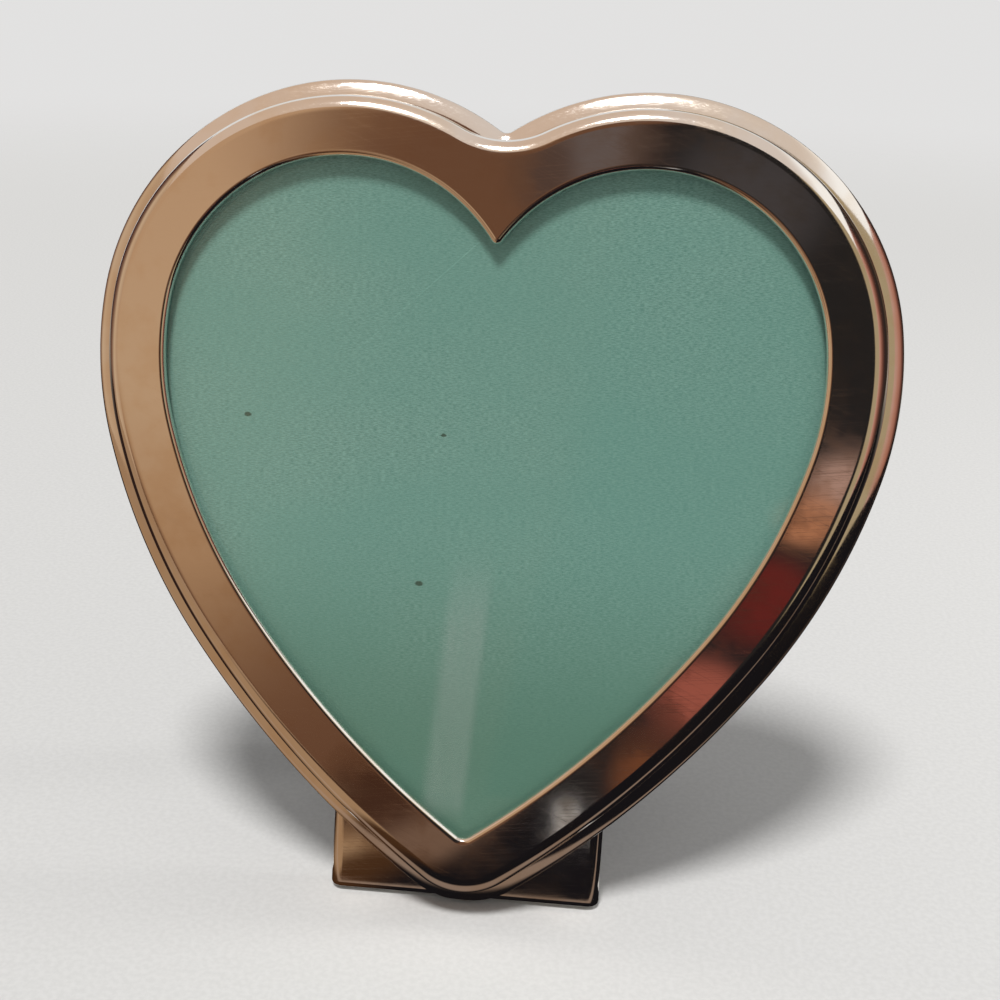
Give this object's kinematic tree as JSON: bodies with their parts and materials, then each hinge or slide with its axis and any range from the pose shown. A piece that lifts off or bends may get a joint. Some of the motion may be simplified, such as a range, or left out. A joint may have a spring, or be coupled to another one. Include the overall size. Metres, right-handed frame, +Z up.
{
  "type": "photo frame",
  "caption": "Heart shaped polished metal photo frame with glass, backing board, foot plate and folding strut, standing leaned back.",
  "frame": {"origin": "on the table, at the middle of the flat ground along the foot plate's lower back edge", "axes": "+X across the frame, +Y backwards from the picture to the strut, +Z up; the picture faces -Y and leans back 15 degrees"},
  "size_m": [0.1524, 0.0674, 0.1518],
  "materials": {
    "silver_plate": "polished",
    "window_glass": "gloss",
    "green_card": "matte",
    "grey_board": "matte",
    "fibreboard": "matte",
    "velvet": "matte",
    "nickel": "satin",
    "screw_steel": "satin"
  },
  "bodies": {
    "frame": {"bezel": "silver_plate", "rear_rim": "silver_plate", "glass": "window_glass", "card_insert": "green_card", "filler_pad": "grey_board", "back_panel": "fibreboard", "back_lining": "velvet", "turn_button_screws": "screw_steel", "foot_plate": "silver_plate", "foot_screws": "screw_steel", "hinge_bracket": "nickel", "bracket_rivets": "nickel", "hinge_pin": "screw_steel"},
    "strut": {"strut_clip": "nickel", "clip_rivets": "nickel", "strut_board": "fibreboard", "strut_lining": "velvet"},
    "button_1": {"turn_button_1": "nickel"},
    "button_2": {"turn_button_2": "nickel"},
    "button_3": {"turn_button_3": "nickel"},
    "button_4": {"turn_button_4": "nickel"},
    "button_5": {"turn_button_5": "nickel"},
    "button_6": {"turn_button_6": "nickel"}
  },
  "joints": [
    {"name": "strut_fold", "type": "hinge", "parent": "frame", "child": "strut", "pos_m": [0, 0.02773, 0.10443], "axis": [-1, 0, 0], "range_deg": [0, 28]},
    {"name": "button_1_swivel", "type": "hinge", "parent": "frame", "child": "button_1", "pos_m": [-0.04204, 0.00679, 0.0398], "axis": [0, 0.9659, -0.2588], "range_deg": [-90, 90]},
    {"name": "button_2_swivel", "type": "hinge", "parent": "frame", "child": "button_2", "pos_m": [0.04204, 0.00679, 0.0398], "axis": [0, 0.9659, -0.2588], "range_deg": [-90, 90]},
    {"name": "button_3_swivel", "type": "hinge", "parent": "frame", "child": "button_3", "pos_m": [-0.06926, 0.02657, 0.11362], "axis": [0, 0.9659, -0.2588], "range_deg": [-90, 90]},
    {"name": "button_4_swivel", "type": "hinge", "parent": "frame", "child": "button_4", "pos_m": [0.06926, 0.02657, 0.11362], "axis": [0, 0.9659, -0.2588], "range_deg": [-90, 90]},
    {"name": "button_5_swivel", "type": "hinge", "parent": "frame", "child": "button_5", "pos_m": [-0.03386, 0.03512, 0.14552], "axis": [0, 0.9659, -0.2588], "range_deg": [-90, 90]},
    {"name": "button_6_swivel", "type": "hinge", "parent": "frame", "child": "button_6", "pos_m": [0.03386, 0.03512, 0.14552], "axis": [0, 0.9659, -0.2588], "range_deg": [-90, 90]}
  ]
}
